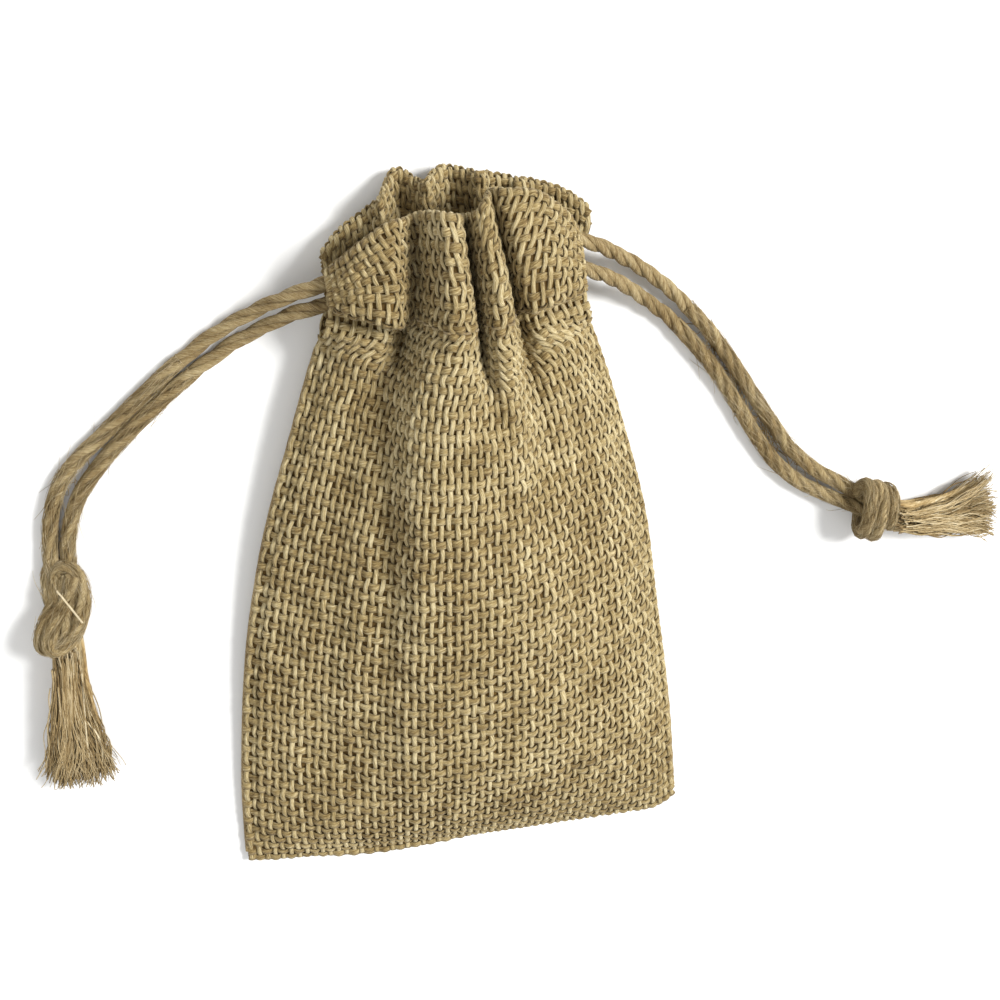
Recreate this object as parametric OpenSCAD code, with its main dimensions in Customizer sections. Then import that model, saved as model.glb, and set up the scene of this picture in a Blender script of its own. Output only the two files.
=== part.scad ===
// Drawstring gift pouch of coarse burlap, lying on its back with the mouth drawn shut.
// Millimetres. +X runs across the pouch, +Y towards the mouth, +Z up out of the front panel.
// The origin is on the surface it lies on, under the middle of the pouch.

/* [Pouch] */
// Flat width of the pouch at its base
pouch_w = 100; // [92:1:108]
// Length from the folded base to the top of the ruffle
pouch_l = 150; // [140:1:160]
// Thickness of the burlap shells
cloth_t = 1.2; // [0.8:0.1:1.6]
// Greatest height of the front panel over the surface
puff_h = 26; // [22:0.5:30]

/* [Neck] */
// Width of the gathered neck
neck_w = 46; // [44:0.5:50]
// Length of each casing, from its hem stitching to the ruffle
casing_l = 20; // [18:0.5:22]
// Height of the back casing
back_casing_h = 7.4; // [6.8:0.1:7.6]
// Height of the front casing
front_casing_h = 9.4; // [8.4:0.1:10]
// Free height of the mouth between the two casings
mouth_gap = 5; // [4.6:0.1:5.6]

/* [Ruffle] */
// Pleats across the front ruffle
front_pleats = 4; // [3:1:5]
// Pleats across the back ruffle
back_pleats = 3; // [2:1:4]
// Depth of the pleats, from middle to crest
pleat_depth = 1.8; // [1:0.1:2]

/* [Cords] */
// Diameter of the jute drawcords
cord_d = 3; // [2.4:0.1:3.2]
// Length of the left knot
left_knot_l = 17; // [14:0.5:19]
// Diameter of the left knot
left_knot_d = 9.6; // [8:0.2:11]
// Length of the right knot
right_knot_l = 15; // [13:0.5:17]
// Diameter of the right knot
right_knot_d = 10.6; // [9:0.2:11.6]

/* [Hidden] */

burlap = "#a58c5c";
burlap_edge = "#937a4c";
thread = "#b39c6c";
jute = "#a8895a";

base_y = -pouch_l / 2;
mouth_y = pouch_l / 2;
ruffle_l = 9;
hem_y = mouth_y - ruffle_l - casing_l;
casing_end_y = hem_y + casing_l;
hinge_y = -12;
joint_gap = 0.4;
mouth_z = back_casing_h + mouth_gap;
crown_power = 2.4;
slice_steps = 24;
front_stations = 9;
back_stations = 14;

// The turned-in side seams: their size, and how far inside the side and below the front cloth they lie
seam_w = 2.4;
seam_t = 0.8;
seam_inset = 0.7;
seam_drop = 0.2;
seam_end_gap = 2;
seam_stations = 12;

// The tunnel through each casing, and the cords in it
tunnel_wall = 1.8;
tunnel_l = 10;
tunnel_y = hem_y + casing_l / 2 - tunnel_l / 2;
run_l = 26;
run_spacing = 4.8;
run_clearance = 0.1;
tunnel_h = cord_d + 1;

back_ruffle_w = neck_w - 6;
back_ruffle_t = 2.2;
back_ruffle_z = 4.2;
front_ruffle_w = neck_w - 2;
front_ruffle_t = 2.4;
front_ruffle_z = mouth_z + 4.4;
pleat_steps = 12;

stitches = 7;
stitch_l = 3.2;
stitch_w = 0.8;
stitch_t = 0.5;
stitch_step = 5;
stitch_inset = 1;
stitch_sink = 0.1;

cord_sides = 8;
tassel_sides = 12;
tassel_clearance = 0.1;
cord_r = cord_d / 2;

// Half the width, the front's height and the seam's height along the length, as shares of their sizes
WIDTH = [[0, 1], [0.1, 0.992], [0.23, 0.968], [0.37, 0.92], [0.5, 0.848],
         [0.6, 0.768], [0.7, 0.656], [0.76, 0.572], [0.81, neck_w / pouch_w]];
HEIGHT = [[0, 0.1], [0.033, 0.29], [0.087, 0.48], [0.167, 0.68], [0.267, 0.83], [0.367, 0.925],
          [0.467, 0.98], [0.567, 1], [0.667, 0.985], [0.74, 0.93], [0.81, 0.83]];
SEAM = [[0, 0.05], [0.1, 0.07], [0.3, 0.115], [0.5, 0.19], [0.7, 0.3], [0.81, 0.36]];

// Routes of the four free strands, from inside the neck to inside the knot
LEFT_OUTER = [[-16, 57.2, 10], [-20, 56.8, 10], [-24.5, 55.8, 9.8], [-31, 53.6, 7.8], [-37, 50.9, 4.9],
              [-43, 47.6, 2.6], [-49.5, 43.4, 1.6], [-55, 39.4, 1.6], [-60.2, 35.1, 1.6],
              [-65, 31, 1.6], [-69.6, 27, 1.6], [-74.4, 22.8, 1.6], [-78.6, 17.6, 1.6],
              [-81, 11.2, 1.6], [-82, 5, 1.6], [-82.2, -0.6, 2.4], [-82, -5, 3.8]];
LEFT_INNER = [[-16, 52.4, 10], [-20, 52.3, 10], [-23.8, 52, 9.8], [-29.6, 50.4, 7.8], [-35.2, 47.8, 4.9],
              [-41.2, 44.6, 2.6], [-47.6, 40.6, 1.6], [-53, 36.8, 1.6], [-58.1, 32.7, 1.6],
              [-62.8, 28.7, 1.6], [-67, 24.8, 1.6], [-70.8, 20.8, 1.6], [-74.6, 16, 1.6],
              [-77.3, 10.2, 1.6], [-78.6, 4.6, 1.6], [-79, -0.6, 2.4], [-79.2, -5, 3.8]];
RIGHT_OUTER = [[16, 62.4, 10], [20, 62.4, 10], [24.6, 61.4, 9.6], [30, 59.3, 7.2], [35, 56.6, 4.4],
               [40, 53.4, 2.4], [46, 48.7, 1.6], [51.5, 43.2, 1.6], [56.5, 37.2, 1.6],
               [61, 30.9, 1.6], [65.3, 24.4, 1.6], [69.8, 17.8, 1.6], [74.4, 11.6, 1.6],
               [79.8, 6.8, 1.6], [85.4, 3.4, 2.4], [90.4, 0.2, 3.8]];
RIGHT_INNER = [[16, 56.6, 10], [20, 56.6, 10], [24.6, 56.1, 9.6], [30.2, 53.8, 7.2], [35.6, 50.8, 4.4],
               [40.8, 47.1, 2.4], [46, 42.8, 1.6], [50.6, 38, 1.6], [54.8, 32.9, 1.6],
               [58.8, 27.2, 1.6], [62.4, 21.4, 1.6], [66, 15.6, 1.6], [70, 10, 1.6],
               [75.2, 5, 1.6], [81.6, 1.2, 2], [88, -1.6, 3.6]];
// The ring where each strand passes from its sliding end to its swinging end
swing_ring = 6;
swing_gap = 1.8;

LEFT_KNOT = [-80.8, -10.2, left_knot_d / 2];
LEFT_KNOT_TURN = -93;
RIGHT_KNOT = [94.8, -3.6, right_knot_d / 2];
RIGHT_KNOT_TURN = -20;
LEFT_TASSEL = [[-81.3, -18.4, 3.4], [-81.9, -26, 3.1], [-82.6, -36, 2.7], [-83.4, -48.5, 2.2]];
LEFT_TASSEL_W = [6, 8, 11, 14];
RIGHT_TASSEL = [[101.6, -6.1, 3.6], [108, -6.9, 3.2], [115.5, -7.4, 2.8], [124, -8, 2.4]];
RIGHT_TASSEL_W = [6, 8, 9.6, 11];

function share(y) = (y - base_y) / pouch_l;
function half_w(y) = lookup(share(y), WIDTH) * pouch_w / 2;
function top_z(y) = lookup(share(y), HEIGHT) * puff_h;
function seam_z(y) = lookup(share(y), SEAM) * puff_h;
function spread(n) = [for (i = [0:n]) -1 + 2 * i / n];
function turned(points) = [for (i = [len(points) - 1:-1:0]) points[i]];

// A closed solid through rings of equal, even size, each ring turning the same way about the run.
// An end is closed by triangles between a ring's first half and its second half turned back.
module skin(rings) {
    n = len(rings[0]);
    last = len(rings) - 1;
    polyhedron(
        points = [for (ring = rings) for (p = ring) p],
        faces = concat(
            [for (j = [0:n / 2 - 2]) each [[n - 1 - j, j + 1, j], [n - 1 - j, n - 2 - j, j + 1]]],
            [for (i = [0:last - 1]) for (j = [0:n - 1])
                let (a = i * n + j, b = i * n + (j + 1) % n) each [[a, b, a + n], [b, b + n, a + n]]],
            [for (j = [0:n / 2 - 2]) let (k = last * n)
                each [[k + j, k + j + 1, k + n - 1 - j], [k + j + 1, k + n - 2 - j, k + n - 1 - j]]]
        )
    );
}

// One crossways slice of the front cloth: a crown that falls to the side seams
function crown(u) = 1 - pow(abs(u), crown_power);
function front_slice(y, lift) =
    let (w = half_w(y), s = seam_z(y) + lift, h = top_z(y), inner_w = w - cloth_t)
    concat(
        [for (u = spread(slice_steps)) [w * u, y, s + (h - s) * crown(u)]],
        turned([for (u = spread(slice_steps)) [inner_w * u, y, s + (h - cloth_t - s) * crown(u)]])
    );

// One crossways slice of the back cloth: flat underneath, rising to the seams
function rise(u) = pow(max(0, abs(u) - 0.5) * 2, 2);
function back_slice(y) =
    let (w = half_w(y), s = seam_z(y), inner_w = w - cloth_t)
    concat(
        [for (u = spread(slice_steps)) [inner_w * u, y, cloth_t + (s - cloth_t) * rise(u)]],
        turned([for (u = spread(slice_steps)) [w * u, y, s * rise(u)]])
    );

function stations(from, to, n) = [for (i = [0:n]) from + (to - from) * i / n];

module front_panel()
    color(burlap) skin([for (y = stations(base_y, hinge_y, front_stations)) front_slice(y, 0)]);

module front_shoulder()
    color(burlap)
        skin([for (y = stations(hinge_y + joint_gap, hem_y, front_stations)) front_slice(y, joint_gap)]);

module back_panel()
    color(burlap) skin([for (y = stations(base_y, hem_y, back_stations)) back_slice(y)]);

// The two cut edges sewn together, turned to the inside along one side
module side_seam(side)
    color(burlap_edge) skin([for (y = stations(base_y + seam_end_gap, hem_y - seam_end_gap, seam_stations))
        let (x = half_w(y) - cloth_t - seam_inset, z = seam_z(y) - seam_drop)
        side > 0
            ? [[x - seam_w, y, z - seam_t], [x - seam_w, y, z], [x, y, z], [x, y, z - seam_t]]
            : [[-x, y, z - seam_t], [-x, y, z], [seam_w - x, y, z], [seam_w - x, y, z - seam_t]]]);

module left_side_seam() side_seam(-1);
module right_side_seam() side_seam(1);

// A bar with round sides that lies across the neck, its underside at z
module neck_bar(w, h, l, y, z)
    translate([0, y + l, z + h / 2]) rotate([90, 0, 0]) linear_extrude(l) {
        square([w - h, h], center = true);
        for (side = [-1, 1])
            translate([side * (w - h) / 2, 0]) circle(d = h, $fn = 48);
    }

// A hem turned down over both cords: a bar with an open tunnel through it
module casing(h, z)
    difference() {
        neck_bar(neck_w, h, casing_l, hem_y, z);
        translate([-neck_w, tunnel_y, z + tunnel_wall])
            cube([2 * neck_w, tunnel_l, tunnel_h]);
    }

module back_casing() color(burlap) casing(back_casing_h, 0);
module front_casing() color(burlap) casing(front_casing_h, mouth_z);

// A band of cloth pleated into waves across the neck
module ruffle(w, pleats, t, z, l) {
    crests = [for (u = spread(pleats * pleat_steps))
        [w / 2 * u, pleat_depth * cos(180 * pleats * (u + 1))]];
    translate([0, casing_end_y + l, z]) rotate([90, 0, 0]) linear_extrude(l)
        polygon(concat([for (p = crests) p + [0, t / 2]], turned([for (p = crests) p - [0, t / 2]])));
}

module back_ruffle()
    color(burlap) ruffle(back_ruffle_w, back_pleats, back_ruffle_t, back_ruffle_z, ruffle_l);

module front_ruffle()
    color(burlap) ruffle(front_ruffle_w, front_pleats, front_ruffle_t, front_ruffle_z, ruffle_l - 1);

// A row of short thread stitches across the neck at height z
module hem_stitch(z)
    color(thread)
        for (i = [0:stitches - 1])
            translate([(i - (stitches - 1) / 2) * stitch_step - stitch_l / 2, hem_y + stitch_inset, z])
                cube([stitch_l, stitch_w, stitch_t]);

module back_hem_stitch() hem_stitch(back_casing_h - stitch_sink);
module front_hem_stitch() hem_stitch(mouth_z + front_casing_h - stitch_sink);

// A cord where it runs inside a casing
module cord_run(y, z)
    color(jute) translate([-run_l / 2, y, z]) rotate([0, 90, 0])
        cylinder(d = cord_d, h = run_l, $fn = 32);

back_run_z = tunnel_wall + cord_r + run_clearance;
front_run_z = mouth_z + back_run_z;
left_run_y = tunnel_y + (tunnel_l - run_spacing) / 2;
right_run_y = tunnel_y + (tunnel_l + run_spacing) / 2;

module left_cord_back_run() cord_run(left_run_y, back_run_z);
module right_cord_back_run() cord_run(right_run_y, back_run_z);
module left_cord_front_run() cord_run(left_run_y, front_run_z);
module right_cord_front_run() cord_run(right_run_y, front_run_z);

function unit(v) = v / norm(v);
function heading(path, i) =
    unit(path[min(i + 1, len(path) - 1)] - path[max(i - 1, 0)]);

// A ring of points round a path's point i, square to the path, w wide and h high
function ring_at(path, i, w, h, sides) =
    let (t = heading(path, i), across = unit(cross(t, [0, 0, 1])), up = cross(across, t))
    [for (j = [0:sides - 1])
        let (a = 360 * (j + 0.5) / sides) path[i] + across * w / 2 * cos(a) + up * h / 2 * sin(a)];

module tube(path)
    color(jute) skin([for (i = [0:len(path) - 1]) ring_at(path, i, cord_d, cord_d, cord_sides)]);

function first_part(route) = [for (i = [0:swing_ring]) route[i]];
function last_part(route) =
    let (p = route[swing_ring], along = unit(route[swing_ring + 1] - p))
    concat([p + along * swing_gap], [for (i = [swing_ring + 1:len(route) - 1]) route[i]]);

module left_outer_exit() tube(first_part(LEFT_OUTER));
module left_inner_exit() tube(first_part(LEFT_INNER));
module left_outer_strand() tube(last_part(LEFT_OUTER));
module left_inner_strand() tube(last_part(LEFT_INNER));
module right_outer_exit() tube(first_part(RIGHT_OUTER));
module right_inner_exit() tube(first_part(RIGHT_INNER));
module right_outer_strand() tube(last_part(RIGHT_OUTER));
module right_inner_strand() tube(last_part(RIGHT_INNER));

// An overhand knot of both strands: a barrel with round ends, lying along its turn
module knot(at, turn, l, d)
    color(jute) translate(at) rotate([0, 0, turn]) rotate([0, 90, 0])
        rotate_extrude($fn = 48) {
            polygon([[0, -l / 2], [d * 0.3, -l / 2], [d * 0.43, -l * 0.4], [d * 0.5, -l * 0.15],
                     [d * 0.5, l * 0.15], [d * 0.43, l * 0.4], [d * 0.3, l / 2], [0, l / 2]]);
        }

module left_knot() knot(LEFT_KNOT, LEFT_KNOT_TURN, left_knot_l, left_knot_d);
module right_knot() knot(RIGHT_KNOT, RIGHT_KNOT_TURN, right_knot_l, right_knot_d);

// The frayed ends below a knot: a flat fan that opens out, lying on the surface
module tassel(path, widths)
    color(jute) skin([for (i = [0:len(path) - 1])
        ring_at(path, i, widths[i], 2 * (path[i][2] - tassel_clearance), tassel_sides)]);

module left_tassel() tassel(LEFT_TASSEL, LEFT_TASSEL_W);
module right_tassel() tassel(RIGHT_TASSEL, RIGHT_TASSEL_W);

back_panel();
front_panel();
front_shoulder();
left_side_seam();
right_side_seam();
back_casing();
front_casing();
back_ruffle();
front_ruffle();
back_hem_stitch();
front_hem_stitch();
left_cord_back_run();
right_cord_back_run();
left_cord_front_run();
right_cord_front_run();
left_outer_exit();
left_inner_exit();
left_outer_strand();
left_inner_strand();
left_knot();
left_tassel();
right_outer_exit();
right_inner_exit();
right_outer_strand();
right_inner_strand();
right_knot();
right_tassel();
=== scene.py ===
"""Drawstring gift pouch of coarse burlap, lying on its back with its mouth drawn shut."""

import math

import bpy
import numpy as np
from mathutils import Matrix, Vector


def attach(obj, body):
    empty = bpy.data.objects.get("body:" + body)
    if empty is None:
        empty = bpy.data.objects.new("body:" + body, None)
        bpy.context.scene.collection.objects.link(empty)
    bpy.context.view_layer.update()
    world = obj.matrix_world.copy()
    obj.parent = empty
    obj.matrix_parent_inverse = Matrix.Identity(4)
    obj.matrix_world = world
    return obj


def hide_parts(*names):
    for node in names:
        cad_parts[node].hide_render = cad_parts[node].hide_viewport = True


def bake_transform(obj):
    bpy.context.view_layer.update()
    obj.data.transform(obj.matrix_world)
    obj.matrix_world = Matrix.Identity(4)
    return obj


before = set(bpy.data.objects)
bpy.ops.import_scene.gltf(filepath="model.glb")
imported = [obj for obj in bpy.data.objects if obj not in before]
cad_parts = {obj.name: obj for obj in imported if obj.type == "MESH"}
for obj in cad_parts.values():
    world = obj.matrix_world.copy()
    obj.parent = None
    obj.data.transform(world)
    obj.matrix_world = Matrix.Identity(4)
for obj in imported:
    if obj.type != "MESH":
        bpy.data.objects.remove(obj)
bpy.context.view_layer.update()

MM = 0.001
RNG = np.random.default_rng(20)

# ---------------------------------------------------------------- camera, light and floor

EYE = Vector((-36.1, 103.1, 256.0)) * MM
EYE_RIGHT = Vector((0.982, -0.028, 0.187))
EYE_BACK = Vector((-0.165, 0.35, 0.92))
LENS_MM = 47.1


def add_camera():
    data = bpy.data.cameras.new("camera")
    data.lens = LENS_MM
    data.sensor_width = 36
    data.clip_start = 0.01
    data.clip_end = 20
    back = EYE_BACK.normalized()
    right = (EYE_RIGHT - back * EYE_RIGHT.dot(back)).normalized()
    up = back.cross(right)
    turn = Matrix((right, up, back)).transposed().to_4x4()
    camera = bpy.data.objects.new("camera", data)
    camera.matrix_world = Matrix.Translation(EYE) @ turn
    bpy.context.scene.collection.objects.link(camera)
    bpy.context.scene.camera = camera


def add_soft_light(name, place, watts, size):
    """A square lamp at place, in metres, that faces the middle of the pouch."""
    data = bpy.data.lights.new(name, "AREA")
    data.energy = watts
    data.size = size
    lamp = bpy.data.objects.new(name, data)
    lamp.location = place
    lamp.rotation_euler = Vector(place).to_track_quat("Z", "Y").to_euler()
    bpy.context.scene.collection.objects.link(lamp)


def add_studio():
    world = bpy.data.worlds.new("studio")
    world.use_nodes = True
    world.node_tree.nodes["Background"].inputs["Color"].default_value = (1, 1, 1, 1)
    world.node_tree.nodes["Background"].inputs["Strength"].default_value = 0.62
    bpy.context.scene.world = world
    bpy.context.scene.view_settings.view_transform = "Standard"
    add_soft_light("key_light", (0.78, 0.36, 0.86), 20, 0.36)
    add_soft_light("fill_light", (-0.6, -0.4, 0.9), 3, 0.8)


# ---------------------------------------------------------------- node helpers


class Link:
    """One output socket. Sums and products on it add Math nodes to its tree."""

    def __init__(self, tree, socket):
        self.tree = tree
        self.socket = socket

    def _math(self, operation, a, b):
        return self.tree.node("ShaderNodeMath", {"operation": operation}, {0: a, 1: b})

    def __add__(self, other):
        return self._math("ADD", self, other)

    def __sub__(self, other):
        return self._math("SUBTRACT", self, other)

    def __rsub__(self, other):
        return self._math("SUBTRACT", other, self)

    def __mul__(self, other):
        return self._math("MULTIPLY", self, other)

    __radd__ = __add__
    __rmul__ = __mul__


class NodeTree:
    """A node tree under construction."""

    def __init__(self, tree):
        self.tree = tree

    def node(self, kind, settings=None, sockets=None, out=0):
        made = self.tree.nodes.new(kind)
        for key, value in (settings or {}).items():
            if key == "stops":
                set_stops(made.color_ramp, value)
            else:
                setattr(made, key, value)
        for key, value in (sockets or {}).items():
            if isinstance(value, Link):
                self.tree.links.new(value.socket, made.inputs[key])
            else:
                made.inputs[key].default_value = value
        return Link(self, made.outputs[out]) if made.outputs else made


def set_stops(ramp, stops):
    while len(ramp.elements) < len(stops):
        ramp.elements.new(0.5)
    for element, (place, colour) in zip(ramp.elements, stops):
        element.position = place
        element.color = (*colour, 1)


# ---------------------------------------------------------------- finishes


def new_material(name):
    material = bpy.data.materials.new(name)
    material.use_nodes = True
    material.node_tree.nodes.clear()
    return material, NodeTree(material.node_tree)


def finish_material(tree, colour, roughness, bump, bump_depth, sheen):
    normal = tree.node("ShaderNodeBump", None, {"Strength": 1.0, "Distance": bump_depth, "Height": bump})
    shader = tree.node("ShaderNodeBsdfPrincipled", None, {
        "Base Color": colour, "Roughness": roughness, "Normal": normal,
        "Sheen Weight": sheen, "Sheen Roughness": 0.5, "Specular IOR Level": 0.25})
    tree.node("ShaderNodeOutputMaterial", None, {"Surface": shader})


def fibre_material(name, stops, twist, fineness, sheen=0.1, bump_depth=0.00015):
    """Spun jute. Fibres run along the strand and lean round it by twist turns per millimetre."""
    material, tree = new_material(name)
    along = tree.node("ShaderNodeAttribute", {"attribute_name": "along"}, out=2)
    ring = tree.node("ShaderNodeAttribute", {"attribute_name": "ring"}, out=1)
    tint = tree.node("ShaderNodeAttribute", {"attribute_name": "tint"}, out=2)
    turned = tree.node("ShaderNodeVectorRotate", {"rotation_type": "Z_AXIS"}, {
        "Vector": ring, "Angle": along * (twist * 2 * math.pi)})
    wide = tree.node("ShaderNodeVectorMath", {"operation": "SCALE"}, {0: turned, "Scale": fineness})
    length = tree.node("ShaderNodeCombineXYZ", None, {"Z": along * 0.14 + tint * 40})
    place = tree.node("ShaderNodeVectorMath", {"operation": "ADD"}, {0: wide, 1: length})
    streaks = tree.node("ShaderNodeTexNoise", None, {"Vector": place, "Scale": 1.7, "Detail": 3.0})
    hairs = tree.node("ShaderNodeTexNoise", None, {"Vector": place, "Scale": 6.5, "Detail": 2.0})
    spot = tree.node("ShaderNodeTexCoord", out=3)
    patches = tree.node("ShaderNodeTexNoise", None, {"Vector": spot, "Scale": 110.0, "Detail": 3.0})
    # The outward term is painted shade: each strand is darker on its side facing in and lighter on its side
    # facing out
    outward = tree.node("ShaderNodeSeparateXYZ", None, {"Vector": ring})
    shade = streaks * 0.85 + hairs * 1.0 + tint * 0.13 + patches * 0.4 + outward * 0.04 - 0.69
    colour = tree.node("ShaderNodeValToRGB", {"stops": stops}, {"Fac": shade})
    roughness = hairs * 0.25 + 0.68
    finish_material(tree, colour, roughness, streaks * 0.5 + hairs, bump_depth, sheen)
    return material


def painted_shade_backing_material():
    """The inner side of the weave, seen only through its holes. Its dark brown is painted shade for the gaps
    between the yarns.
    """
    material, tree = new_material("burlap_backing_painted_shade")
    spot = tree.node("ShaderNodeTexCoord", out=3)
    noise = tree.node("ShaderNodeTexNoise", None, {"Vector": spot, "Scale": 420.0, "Detail": 4.0})
    colour = tree.node("ShaderNodeValToRGB", {"stops": [
        (0.3, (0.062, 0.034, 0.007)), (0.7, (0.135, 0.08, 0.021))]}, {"Fac": noise})
    finish_material(tree, colour, noise * 0.1 + 0.85, noise, 0.0002, 0.0)
    return material


def floor_material():
    material, tree = new_material("studio_floor")
    spot = tree.node("ShaderNodeTexCoord", out=3)
    noise = tree.node("ShaderNodeTexNoise", None, {"Vector": spot, "Scale": 3.0})
    colour = tree.node("ShaderNodeValToRGB", {"stops": [
        (0.0, (0.86, 0.86, 0.85)), (1.0, (0.9, 0.9, 0.89))]}, {"Fac": noise})
    finish_material(tree, colour, 0.9, noise, 0.00001, 0.0)
    return material


BURLAP = fibre_material("burlap", [
    (0.2, (0.11, 0.066, 0.017)), (0.4, (0.25, 0.174, 0.064)), (0.58, (0.42, 0.325, 0.152)),
    (0.82, (0.66, 0.565, 0.34))], twist=0.07, fineness=1.4)
BURLAP_EDGE = fibre_material("burlap_edge", [
    (0.22, (0.09, 0.05, 0.014)), (0.5, (0.28, 0.195, 0.08)), (0.8, (0.58, 0.47, 0.26))],
    twist=0.3, fineness=0.9)
THREAD = fibre_material("sewing_thread", [
    (0.2, (0.12, 0.07, 0.022)), (0.5, (0.32, 0.23, 0.10)), (0.8, (0.58, 0.46, 0.25))],
    twist=1.2, fineness=0.8, sheen=0.2)
JUTE = fibre_material("jute_cord", [
    (0.16, (0.085, 0.048, 0.013)), (0.4, (0.225, 0.148, 0.056)), (0.6, (0.38, 0.285, 0.135)),
    (0.86, (0.62, 0.51, 0.30))], twist=-0.1, fineness=1.9, sheen=0.04, bump_depth=0.00025)
FRAY = fibre_material("jute_fray", [
    (0.16, (0.13, 0.076, 0.022)), (0.42, (0.31, 0.208, 0.082)), (0.62, (0.49, 0.365, 0.178)),
    (0.86, (0.78, 0.665, 0.44))], twist=0.02, fineness=1.2, sheen=0.04)
BACKING_PAINTED_SHADE = painted_shade_backing_material()


# ---------------------------------------------------------------- strands


def strand_tree():
    """Turns lines into flattened strands. Each point has its own outward side, swell, tint and length."""
    group = bpy.data.node_groups.new("strands", "GeometryNodeTree")
    face = group.interface
    face.new_socket("Lines", in_out="INPUT", socket_type="NodeSocketGeometry")
    for name, default in (("Width", 0.001), ("Thickness", 0.001)):
        face.new_socket(name, in_out="INPUT", socket_type="NodeSocketFloat").default_value = default
    face.new_socket("Sides", in_out="INPUT", socket_type="NodeSocketInt").default_value = 6
    face.new_socket("Material", in_out="INPUT", socket_type="NodeSocketMaterial")
    face.new_socket("Strands", in_out="OUTPUT", socket_type="NodeSocketGeometry")
    tree = NodeTree(group)
    given = group.nodes.new("NodeGroupInput").outputs
    inputs = {socket.name: Link(tree, socket) for socket in given if socket.name}

    def attribute(name, kind):
        return tree.node("GeometryNodeInputNamedAttribute", {"data_type": kind}, {"Name": name})

    curve = tree.node("GeometryNodeMeshToCurve", None, {"Mesh": inputs["Lines"]})
    curve = tree.node("GeometryNodeSetCurveNormal", {"mode": "FREE"}, {
        "Curve": curve, "Normal": attribute("side", "FLOAT_VECTOR")})
    circle = tree.node("GeometryNodeCurvePrimitiveCircle", {"mode": "RADIUS"}, {
        "Resolution": inputs["Sides"], "Radius": 1.0})
    circle = tree.node("GeometryNodeStoreNamedAttribute", {"data_type": "FLOAT_VECTOR", "domain": "POINT"}, {
        "Geometry": circle, "Name": "ring", "Value": tree.node("GeometryNodeInputPosition")})
    size = tree.node("ShaderNodeCombineXYZ", None, {
        "X": inputs["Thickness"] * 0.5, "Y": inputs["Width"] * 0.5, "Z": 1.0})
    profile = tree.node("GeometryNodeTransform", None, {"Geometry": circle, "Scale": size})
    mesh = tree.node("GeometryNodeCurveToMesh", None, {
        "Curve": curve, "Profile Curve": profile, "Scale": attribute("swell", "FLOAT"), "Fill Caps": True})
    mesh = tree.node("GeometryNodeRealizeInstances", None, {"Geometry": mesh})
    mesh = tree.node("GeometryNodeSetMaterial", None, {"Geometry": mesh, "Material": inputs["Material"]})
    output = group.nodes.new("NodeGroupOutput")
    group.links.new(mesh.socket, output.inputs["Strands"])
    return group


STRANDS = strand_tree()


class Lines:
    """Strand centre lines, in millimetres, gathered for one piece."""

    def __init__(self):
        self.points, self.sides, self.swells, self.tints, self.alongs, self.ends = [], [], [], [], [], []

    def add(self, points, sides, swell=1.0, tint=None, start=0.0):
        points = np.asarray(points, float)
        steps = np.linalg.norm(np.diff(points, axis=0), axis=1)
        self.points.append(points)
        self.sides.append(np.broadcast_to(np.asarray(sides, float), points.shape))
        self.swells.append(np.broadcast_to(np.asarray(swell, float), len(points)))
        self.tints.append(np.full(len(points), RNG.random() if tint is None else tint))
        self.alongs.append(start + np.concatenate([[0], np.cumsum(steps)]))
        self.ends.append(len(points))


def set_attribute(mesh, name, kind, values):
    attribute = mesh.attributes.new(name, kind, "POINT")
    key = "vector" if kind == "FLOAT_VECTOR" else "value"
    attribute.data.foreach_set(key, np.ascontiguousarray(values, np.float32).ravel())


def strands(name, lines, width, thickness, material, sides=6):
    """A piece of closed strands, width and thickness in millimetres, as a plain mesh."""
    points = np.concatenate(lines.points) * MM
    starts = np.concatenate([[0], np.cumsum(lines.ends)])
    edges = [np.stack([np.arange(a, b - 1), np.arange(a + 1, b)], 1) for a, b in zip(starts, starts[1:])]
    edges = np.concatenate(edges)
    mesh = bpy.data.meshes.new(name + "_lines")
    mesh.vertices.add(len(points))
    mesh.edges.add(len(edges))
    mesh.vertices.foreach_set("co", points.astype(np.float32).ravel())
    mesh.edges.foreach_set("vertices", edges.astype(np.int32).ravel())
    set_attribute(mesh, "side", "FLOAT_VECTOR", np.concatenate(lines.sides))
    set_attribute(mesh, "swell", "FLOAT", np.concatenate(lines.swells))
    set_attribute(mesh, "tint", "FLOAT", np.concatenate(lines.tints))
    set_attribute(mesh, "along", "FLOAT", np.concatenate(lines.alongs))
    piece = bpy.data.objects.new(name, mesh)
    bpy.context.scene.collection.objects.link(piece)
    modifier = piece.modifiers.new("strands", "NODES")
    modifier.node_group = STRANDS
    values = {"Width": width * MM, "Thickness": thickness * MM, "Sides": sides, "Material": material}
    for socket in STRANDS.interface.items_tree:
        if socket.name in values:
            modifier[socket.identifier] = values[socket.name]
    evaluated = piece.evaluated_get(bpy.context.evaluated_depsgraph_get())
    made = bpy.data.meshes.new_from_object(evaluated)
    piece.modifiers.remove(modifier)
    piece.data = made
    made.name = name
    bpy.data.meshes.remove(mesh)
    for key in ("side", "swell"):
        if key in made.attributes:
            made.attributes.remove(made.attributes[key])
    made.shade_smooth()
    return piece


# ---------------------------------------------------------------- cloth surface

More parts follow.
